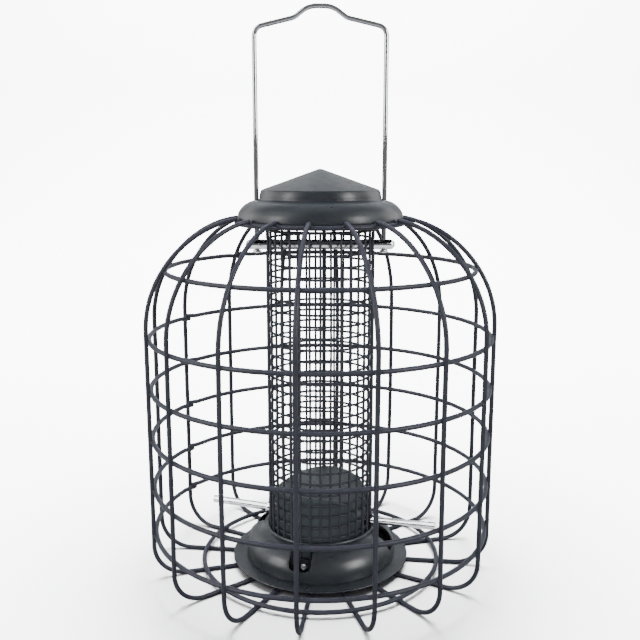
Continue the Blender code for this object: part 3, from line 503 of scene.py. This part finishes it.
def make_mesh_tube():
    """Uprights with a rim at both ends, and hoops inside them that lap at the back on a seam wire."""
    def mesh_wire(path, side, closed=False):
        """A wire of the mesh, with few sides because there are so many."""
        return wire(path, side, MESH_WIRE_RADIUS, MESH_WIRE_SIDES, closed)

    grids = []
    bar_gap = BAR_RADIUS + MESH_BAR_CLEARANCE
    for k in range(MESH_COUNT):
        azimuth = FULL_TURN * k / MESH_COUNT - FULL_TURN / 4
        spans = [(TUBE_FOOT, TUBE_TOP)]
        # An upright in the cross bar's way is cut there
        if MESH_RADIUS * abs(math.sin(azimuth)) < BAR_RADIUS + MESH_WIRE_RADIUS:
            spans = [(TUBE_FOOT, BAR_HEIGHT - bar_gap), (BAR_HEIGHT + bar_gap, TUBE_TOP)]
        for low, high in spans:
            height = np.linspace(low, high, max(4, int((high - low) / 6)))
            wobble = 0.12 * np.sin(height / 23 + 5 * random.random())
            path = np.stack([np.full_like(height, MESH_RADIUS), wobble, height], -1)
            grids.append(mesh_wire(turn_about_z(path, azimuth), turn_about_z(FRONT, azimuth)))
    for height in (TUBE_FOOT + MESH_WIRE_RADIUS, TUBE_TOP - MESH_WIRE_RADIUS):
        azimuth = FULL_TURN * np.arange(MESH_RIM_ROWS) / MESH_RIM_ROWS
        path = np.stack([MESH_RADIUS * np.cos(azimuth), MESH_RADIUS * np.sin(azimuth),
                         np.full(MESH_RIM_ROWS, height)], -1)
        grids.append(mesh_wire(path, UP, True))
    piece("mesh_uprights_round", grids, mesh_coat, "mesh_coat", "feeder", "mesh_uprights")

    offset = BAR_RADIUS + HOOP_BAR_CLEARANCE
    lowest = TUBE_FOOT + LOWEST_HOOP_RISE
    pitch = (BAR_HEIGHT - offset - lowest) / (HOOPS_BELOW_BAR - 1)
    heights = [lowest + pitch * k for k in range(HOOPS_BELOW_BAR)] + [BAR_HEIGHT + offset, TUBE_TOP - 1.2]
    grids = []
    lap = HOOP_LAP / HOOP_RADIUS
    share = np.linspace(0, 1, HOOP_ROWS)
    azimuth = FULL_TURN / 4 - lap / 2 + share * (FULL_TURN + lap)
    # The last stretch slips inside the first one
    slip = np.clip((share - 0.93) / 0.05, 0, 1)
    radius = HOOP_RADIUS - MESH_WIRE_RADIUS * slip * slip * (3 - 2 * slip)
    for height in heights:
        level = height + 0.1 * np.sin(azimuth * 2 + height)
        path = np.stack([radius * np.cos(azimuth), radius * np.sin(azimuth), level], -1)
        grids.append(mesh_wire(path, UP))
    height = np.linspace(heights[0] - 1.5, heights[-1] + 0.6, 40)
    seam = np.stack([np.full_like(height, SEAM_OFFSET), np.full_like(height, HOOP_RADIUS - MESH_WIRE_RADIUS),
                     height], -1)
    grids.append(mesh_wire(seam, np.array([1.0, 0.0, 0.0])))
    piece("mesh_hoops_round", grids, mesh_coat, "mesh_coat", "feeder", "mesh_hoops")


def make_lid():
    """Pressed steel: cone, band, rolled shoulder and a hem turned under, one closed outline.

    The roll is a quarter ellipse: radius = 37.3 + 13.6 sin a, height above the hem = 1.3 + 11.2 cos a.
    """
    # Radius and height above the hem: the cone's tip and foot, the band's two edges, the roll's start
    cone_and_band = rounded([(0, 31.75), (36.2, 18.55), (37.25, 15.6), (37.45, 12.7), (40.6, 12.2)],
                            [1.6, 10, 1.1], 7)
    tip_radius = 5.0
    tip = arc((0, 31.2 - tip_radius), tip_radius, 90, 70, 6)
    angle = np.radians(np.linspace(10, 90, 15))
    roll = np.stack([37.3 + 13.6 * np.sin(angle), 1.3 + 11.2 * np.cos(angle)], -1)
    hem = np.array([(50.95, 0.7), (50.75, 0.2), (50.2, 0)])
    outer = np.concatenate([tip, cone_and_band[1:-1], roll, hem]) + [0, LID_HEM]
    # The inner side is the outer line moved inwards along its normal
    step = unit(np.gradient(outer, axis=0))
    inner = outer + SHEET * np.stack([step[:, 1], -step[:, 0]], -1)
    inner[0, 0] = 0
    inner[:, 0] = np.maximum(inner[:, 0], 0)
    profile = np.concatenate([outer, inner[::-1]])
    lid = piece("lid_pressed", [turned(profile, 160)], slate_coat, "powder_coat", "lid", "lid")
    # The handle's holes go through the roll, from below the hem to above it
    hole = np.array([[0.0, 0.0, LID_HEM - 2], [0.0, 0.0, LID_HEM + 22]])
    pierced(lid, surface("leg_holes", [wire(hole + [x, 0, 0], FRONT, LEG_HOLE_RADIUS, 32)
                                       for x in (-LEG_X, LEG_X)]))


def make_dome():
    """Pressed dome over a quarter ellipse with four slots, from a warped grid.

    Columns are shared between the panels and the slots: a column's azimuth is blended from the slot's edge
    on one side to the next slot's edge, where the edge is asin(half width / radius).
    """
    neck_height = TRAY_FLOOR + 17.2
    foot, flank = TRAY_RIM + 0.2, 4.0
    angle = np.radians(np.linspace(0, 90, 41))
    curve = np.stack([DOME_NECK_RADIUS + (DOME_RADIUS - DOME_NECK_RADIUS) * np.sin(angle),
                      foot + flank + (neck_height - foot - flank) * np.cos(angle)], -1)
    # The neck ends in a low lip that stands up round the mesh, over a small hollow fillet
    lip, fillet = DOME_NECK_RADIUS + 0.5, 0.9
    seat = np.interp(lip + fillet, curve[:, 0], curve[:, 1])
    hollow = arc((lip + fillet, seat + fillet), fillet, 180, 270, 6)
    curve = np.concatenate([[(lip, seat + fillet + 0.3)], hollow, curve[curve[:, 0] > lip + fillet + 0.2],
                            [(DOME_RADIUS, foot + flank / 2), (DOME_RADIUS, foot)]])
    # Rows slide along the curve so that one row lies on the slot's upper end and one on its sill
    length = np.concatenate([[0], np.cumsum(np.linalg.norm(np.diff(curve, axis=0), axis=1))])
    end_at = np.interp(DOME_NECK_RADIUS + 2.7, curve[:, 0], length)
    sill_at = np.interp(-PORT_SILL, -curve[:, 1], length)
    at = np.concatenate([np.linspace(0, end_at, 15), np.linspace(end_at, sill_at, 33)[1:],
                         np.linspace(sill_at, length[-1], 9)[1:]])
    radius, height = (np.interp(at, length, curve[:, k]) for k in range(2))
    # Half the slot's width, which shrinks round its lower corners
    below = np.clip(PORT_SILL + PORT_CORNER - height, 0, PORT_CORNER)
    width = PORT_HALF_WIDTH - PORT_CORNER + np.sqrt(np.maximum(PORT_CORNER ** 2 - below ** 2, 0))
    width[at > sill_at] = PORT_HALF_WIDTH - PORT_CORNER
    edge = np.arcsin(width / radius)
    panel = np.linspace(0, 1, 29)
    slot = np.linspace(0, 1, 13)[1:-1]
    quarter = FULL_TURN / 4
    columns = np.concatenate([edge[:, None] + panel[None] * (quarter - 2 * edge[:, None]),
                              quarter - edge[:, None] + slot[None] * 2 * edge[:, None]], 1)
    in_slot = np.zeros(columns.shape[1], bool)
    in_slot[len(panel) - 1:] = True
    start = PERCH_AZIMUTH + math.radians(1.2)
    azimuth = np.concatenate([columns + start + quarter * k for k in range(4)], 1)
    in_slot = np.tile(in_slot, 4)
    grid = np.stack([radius[:, None] * np.cos(azimuth), radius[:, None] * np.sin(azimuth),
                     np.broadcast_to(height[:, None], azimuth.shape)], -1)
    rows_open = (at[:-1] >= end_at - 1e-6) & (at[1:] <= sill_at + 1e-6)
    keep = ~(rows_open[:, None] & in_slot[None])
    wall = ("SOLIDIFY", {"thickness": SHEET * MM, "offset": -1.0, "use_even_offset": True})
    edges = ("BEVEL", {"width": 0.34 * MM, "segments": 3, "limit_method": "ANGLE",
                       "angle_limit": math.radians(50)})
    piece("base_dome_pressed", [(grid, False, True, keep)], slate_coat, "powder_coat", "feeder", "base_dome",
          modifiers=(wall, edges))


def make_tray():
    """Round tray: a flat brim, a raised floor that centres the dome, a well and two tabs for the screws.

    A tab's half width is the square root of (half squared - height above the round end's centre squared),
    and below that centre it is half + (depth / flare) squared.
    """
    top, rim, well, wall, edge = TRAY_FLOOR, TRAY_RIM, TRAY_WELL, SHEET, TRAY_RADIUS
    profile = rounded([(2.3, well), (15, well), (19, top), (46.3, top), (47.1, rim), (edge, rim),
                       (edge, rim - wall), (46.4, rim - wall), (45.6, top - wall), (19.5, top - wall),
                       (15.5, well - wall), (2.3, well - wall)],
                      [2, 2, 0.6, 0.5, 0.48, 0.48, 0.5, 0.6, 2, 2], 6)
    grids = [turned(profile, 144)]
    half = TAB_HALF_WIDTH
    centre = top + TAB_RISE - half
    height = np.concatenate([np.linspace(top - wall / 2, centre, 12),
                             centre + half * np.sin(np.radians(np.linspace(8, 90, 12)))])
    above = np.clip(height - centre, 0, half)
    below = np.clip(centre - height, 0, None)
    width = np.sqrt(np.maximum(half ** 2 - above ** 2, 0.0)) + (below / TAB_FLARE) ** 2 + 1e-3
    corners = rounded([(1, 0), (1, 0.5), (-1, 0.5), (-1, -0.5), (1, -0.5), (1, 0)], [0.3] * 4, 4)[:-1]
    section = corners[None] * np.stack([width, np.full_like(width, wall)], -1)[:, None]
    path = np.stack([np.full_like(height, CLAMP_FACE + wall / 2), np.zeros_like(height), height], -1)
    for azimuth in (SCREW_AZIMUTH, SCREW_AZIMUTH + FULL_TURN / 2):
        grids.append(swept(turn_about_z(path, azimuth), turn_about_z(-FRONT, azimuth), section))
    piece("base_tray_pressed", grids, slate_coat, "powder_coat", "feeder", "base_tray")


def make_baffle():
    """Moulded cup, upside down: its top is an arch across the perches, z = ridge - drop (along / R)^2."""
    ridge, drop, wall, edge = TRAY_FLOOR + 45.2, 6.5, BAFFLE_WALL, 1.1
    rim = arc((BAFFLE_RADIUS - edge, -edge), edge, 90, 0, 6)
    outer = np.concatenate([np.stack([np.linspace(0, BAFFLE_RADIUS - edge, 14)[:-1], np.zeros(13)], -1), rim])
    inner = outer[::-1] * np.array([(BAFFLE_RADIUS - wall) / BAFFLE_RADIUS, 1]) - [0, wall]

    def rows(line):
        """Points of a line of (radius, height against the arch) turned about Z."""
        spun = turned(line)[0]
        along = spun[..., 0] * math.cos(PERCH_AZIMUTH) + spun[..., 1] * math.sin(PERCH_AZIMUTH)
        spun[..., 2] += ridge - drop * (along / BAFFLE_RADIUS) ** 2
        return spun

    foot = np.array([(BAFFLE_RADIUS, TUBE_FOOT), (BAFFLE_RADIUS - wall, TUBE_FOOT)])
    grid = np.concatenate([rows(outer), turned(foot)[0], rows(inner)])
    piece("seed_baffle_moulded", [(grid, False, True)], plastic, "plastic", "feeder", "seed_baffle")


def make_handle():
    """Cross bar with domed ends, the bent handle and the stops on its ends under the bar."""
    half = LEG_X + BAR_OVERHANG
    dome = arc((half - BAR_RADIUS, 0), BAR_RADIUS, 0, 90, 8)
    profile = np.concatenate([dome[:, ::-1], (dome[::-1] * [-1, 1])[:, ::-1]])
    grid, _, _ = turned(profile, 40)
    bar = grid[..., [2, 1, 0]] * np.array([-1, 1, 1]) + UP * BAR_HEIGHT
    piece("crossbar_rod", [(bar, False, True)], chrome, "chrome", "feeder", "crossbar")

    # Half of the handle's line: foot and shoulder of the leg, foot and crown of the hump
    corners = [(LEG_X, BAR_HEIGHT - BAR_RADIUS - 2.2), (LEG_X, BAR_HEIGHT + 128.2),
               (15.6, BAR_HEIGHT + 133.7), (7, BAR_HEIGHT + 140.2)]
    corners = [(-x, z) for x, z in corners] + corners[::-1]
    line = spaced(rounded(corners, [6, 8, 14, 14, 8, 6], 16), 1.2)
    path = np.stack([line[:, 0], np.zeros(len(line)), line[:, 1]], -1)
    piece("handle_wire", [wire(path, FRONT, HANDLE_RADIUS, 20)], chrome, "chrome", "feeder", "handle")

    stop_top = BAR_HEIGHT - BAR_RADIUS - 0.3
    ring = np.concatenate([[(1.8, stop_top)], arc((2.1, stop_top - 0.4), 0.4, 90, 0, 4),
                           arc((2.1, stop_top - 1.0), 0.4, 0, -90, 4), [(1.8, stop_top - 1.4)]])
    for side, name in ((-1, "left"), (1, "right")):
        grid, *rest = turned(ring, 32)
        piece(f"handle_stop_{name}_pressed", [(grid + [side * LEG_X, 0, 0], *rest)], chrome, "chrome",
              "feeder", f"handle_stop_{name}")


def make_perches():
    """A stepped rod each, turned with a round tip, in a collar that clamps the mesh."""
    tip = CLAMP_FACE + PERCH_LENGTH
    shoulder = CLAMP_FACE + COLLAR_LENGTH + 0.3
    stud, thick, collar_bore, collar_radius, edge = 1.5, 2.4, 1.8, 3.9, 0.6
    rod = np.concatenate([[(0, ROD_START), (stud, ROD_START), (stud, shoulder), (thick - 0.1, shoulder),
                           (thick, shoulder + 0.1)], arc((thick - edge, tip - edge), edge, 0, 90, 5),
                          [(0, tip)]])
    collar = np.concatenate([[(collar_bore, CLAMP_FACE)],
                             arc((collar_radius - edge / 2, CLAMP_FACE + edge / 2), edge / 2, -90, 0, 3),
                             arc((collar_radius - edge, CLAMP_FACE + COLLAR_LENGTH - edge), edge, 0, 90, 4),
                             [(collar_bore, CLAMP_FACE + COLLAR_LENGTH)]])
    for name, azimuth in (("right", PERCH_AZIMUTH), ("left", PERCH_AZIMUTH + FULL_TURN / 2)):
        # The rod rises a little towards its tip: height plus rise times the way out from the collar
        laid, *wraps = lay(turned(rod, 36, False), azimuth, PERCH_HEIGHT)
        out = laid[..., 0] * math.cos(azimuth) + laid[..., 1] * math.sin(azimuth)
        laid[..., 2] += PERCH_RISE * np.maximum(out - CLAMP_FACE, 0)
        piece(f"perch_{name}_rod", [(laid, *wraps)], chrome, "chrome", "feeder", f"perch_{name}")
        piece(f"perch_collar_{name}_turned", [lay(turned(collar, 36), azimuth, PERCH_HEIGHT)], chrome,
              "chrome", "feeder", f"perch_collar_{name}")


def make_screws():
    """Pan heads: a low dome, less a cross recess that is deep where a point is near either arm's line."""
    seat, columns = CLAMP_FACE + 1.3, 40
    shank = turned(np.array([(0, ROD_START), (1, ROD_START), (1, seat), (1.9, seat)]), columns)[0]
    rim = turned(np.concatenate([[(1.9, seat)], arc((1.35, seat + 0.75), 0.55, 0, 55, 4)]), columns)[0]
    radius = np.linspace(1, 0, 16)[1:, None] * rim[-1, 0, 0]
    x, y = (radius * circle(columns)[None, :, k] for k in range(2))
    arm = np.minimum(np.abs(x), np.abs(y))
    recess = np.clip((0.28 - arm) / 0.12, 0, 1) * np.clip((1.15 - np.hypot(x, y)) / 0.2, 0, 1)
    face = np.stack([x, y, seat + 1.5 - 0.2 * (radius / 1.35) ** 2 - 0.7 * recess], -1)
    head = np.concatenate([shank, rim, face])
    for name, azimuth in (("front", SCREW_AZIMUTH), ("back", SCREW_AZIMUTH + FULL_TURN / 2)):
        piece(f"base_screw_{name}_pan_head", [lay((head, False, True), azimuth, SCREW_HEIGHT)], zinc, "steel",
              "feeder", f"base_screw_{name}")


def make_hub():
    """The plate welded on the spokes' ends, the screw under it and the nut on the tray."""
    low, high = 2.55, 3.55
    plate = np.concatenate([[(2.3, low)], arc((19.6, low + 0.4), 0.4, -90, 0, 4),
                            arc((19.6, high - 0.4), 0.4, 0, 90, 4), [(2.3, high)]])
    piece("hub_plate_pressed", [turned(plate, 96)], wire_coat, "cage_coat", "feeder", "hub_plate")
    head = np.concatenate([[(0, 0.85)], arc((1.6, 1.85), 1.0, -90, -10, 5), [(3.6, 1.9), (3.6, 2.25)],
                           [(1.9, 2.25), (1.9, 8.5), (1.6, 8.75), (0, 8.75)]])
    piece("hub_screw_pan_head", [turned(head, 40, False)], zinc, "steel", "feeder", "hub_screw")
    # The nut's flats: radius = inner radius / cos(angle from the middle of the flat)
    columns = 48
    angle = FULL_TURN * np.arange(columns) / columns
    flats = 4.0 * math.cos(math.pi / 6) / np.cos((angle + math.pi / 6) % (math.pi / 3) - math.pi / 6)
    bore = np.full(columns, 2.3)
    bottom, top, bevel = 5.45, 7.85, 0.35
    rings = [(bore, bottom), (flats, bottom), (flats, top - bevel), (flats - bevel, top), (bore, top)]
    grid = np.stack([np.stack([radius * np.cos(angle), radius * np.sin(angle), np.full(columns, height)], -1)
                     for radius, height in rings])
    piece("hub_nut_hexagon", [(grid, True, True)], zinc, "steel", "feeder", "hub_nut")


def make_studio():
    """Pale paper that sweeps from the floor up to a wall, and the soft lights round it."""
    # In metres: the paper's line from the front edge to the top of the wall, and its two sides
    sweep = rounded([(-2.2, 0.0), (1.7, 0.0), (1.9, 0.95)], [0.6], 24)
    across = np.array([-2.2, 2.2])
    grid = np.stack([np.broadcast_to(across[None], (len(sweep), 2)),
                     np.broadcast_to(sweep[:, :1], (len(sweep), 2)),
                     np.broadcast_to(sweep[:, 1:], (len(sweep), 2))], -1)
    mesh = bpy.data.meshes.new("paper_sweep")
    mesh.from_pydata(grid.reshape(-1, 3), [], grid_faces(len(sweep), 2, False, False).reshape(-1, 4))
    mesh.shade_smooth()
    mesh.materials.append(paper("matt_paper", "#f0f1f2", "#606264", 2.4, 1.8))
    floor = bpy.data.objects.new("paper_sweep", mesh)
    bpy.context.scene.collection.objects.link(floor)

    def softbox(name, place, aim, width, height, power, glossy=True):
        """A soft rectangular light at a place in metres, aimed at a point, that the camera doesn't see."""
        light = bpy.data.lights.new(name, "AREA")
        light.shape = "RECTANGLE"
        light.size, light.size_y = width, height
        light.energy = power
        box = bpy.data.objects.new(name, light)
        box.location = place
        box.rotation_euler = (Vector(aim) - Vector(place)).to_track_quat("-Z", "Y").to_euler()
        box.visible_glossy = glossy
        box.visible_camera = False
        bpy.context.scene.collection.objects.link(box)
        return box

    def only_on(box, lit):
        """The light reaches these pieces alone, as if the others were flagged off it."""
        box.light_linking.receiver_collection = bpy.data.collections.new(box.name)
        for made in lit:
            box.light_linking.receiver_collection.objects.link(made)

    # The keys stand lower and are stronger for the base, whose dome mirrors them further down
    base = [made for made in pieces if made.name.startswith(("base_dome", "base_tray"))]
    others = [made for made in pieces if made not in base]
    pressed = [made for made in pieces if made.name.startswith(("base_dome", "base_tray", "lid"))]
    only_on(softbox("key_left", (-1.16, -0.58, 0.66), (0, 0, 0.12), 0.4, 0.72, 7), others)
    only_on(softbox("key_right", (1.06, -0.74, 0.66), (0, 0, 0.12), 0.4, 0.7, 11), others)
    only_on(softbox("base_left", (-1.18, -0.55, 0.36), (0, 0, 0.05), 0.4, 0.6, 12), base)
    only_on(softbox("base_right", (1.04, -0.77, 0.36), (0, 0, 0.05), 0.52, 0.6, 18), base)
    only_on(softbox("rim_left", (-1.5, 0.9, 0.75), (0, 0, 0.15), 1.2, 1.2, 8), pressed)
    only_on(softbox("rim_right", (1.5, 0.9, 0.75), (0, 0, 0.15), 1.2, 1.2, 10), pressed)
    softbox("ceiling", (0, 0.7, 2.0), (0, 0.3, 0), 1.5, 1.5, 330, False)
    softbox("wall_wash", (0, 0.5, 1.7), (0, 1.9, 0.5), 2.6, 0.6, 80, False)
    softbox("back_top", (0, 1.5, 1.35), (0, 0, 0.2), 2.6, 0.8, 7.5)
    softbox("left_high", (-1.2, -0.4, 1.3), (0, 0, 0.1), 1.3, 1.1, 8)
    only_on(softbox("right_high", (1.25, -0.3, 1.2), (0, 0, 0.1), 1.0, 1.0, 5), pressed)
    # The handle is flagged off the side cards, so that its legs stay dark against the white
    flagged = [made for made in pieces if made.name != "handle_wire"]
    only_on(softbox("card_left", (-1.5, -0.35, 0.45), (0, -0.35, 0.3), 2.5, 0.9, 14), flagged)
    only_on(softbox("card_right", (1.5, -0.35, 0.45), (0, -0.35, 0.3), 2.5, 0.9, 7.5), flagged)
    only_on(softbox("front_fill", (0, -1.6, 0.6), (0, 0, 0.1), 1.2, 0.8, 58, False), pieces)
    # White cards above and below that only the small bright parts mirror, as if held close to them
    bright = [made for made in flagged if made.data.materials[0] in (chrome, zinc)]
    only_on(softbox("card_above", (0, -0.3, 1.1), (0, 0.1, 0), 2.6, 1.8, 80), bright)
    only_on(softbox("card_below", (0, 0, 0.0004), (0, 0, 1), 1.4, 1.4, 7), bright)
    only_on(softbox("base_fill", (0, -1.5, 0.75), (0, 0, 0.02), 1.4, 0.8, 20, False), base)
    # The camera sees white beyond the paper, but the feeder is lit and mirrored by a dim grey
    world = bpy.data.worlds.new("studio")
    bpy.context.scene.world = world
    world.use_nodes = True
    sky = world.node_tree.nodes["Background"]
    sky.inputs["Color"].default_value = colour("#f4f5f6")
    seen = add(world.node_tree, "ShaderNodeLightPath").outputs["Is Camera Ray"]
    over = add(world.node_tree, "ShaderNodeMapRange", {"To Min": 0.19, "To Max": 8.0}, {"Value": seen})
    world.node_tree.links.new(over.outputs["Result"], sky.inputs["Strength"])


make_cage()
make_mesh_tube()
make_lid()
make_dome()
make_tray()
make_baffle()
make_handle()
make_perches()
make_screws()
make_hub()
make_studio()
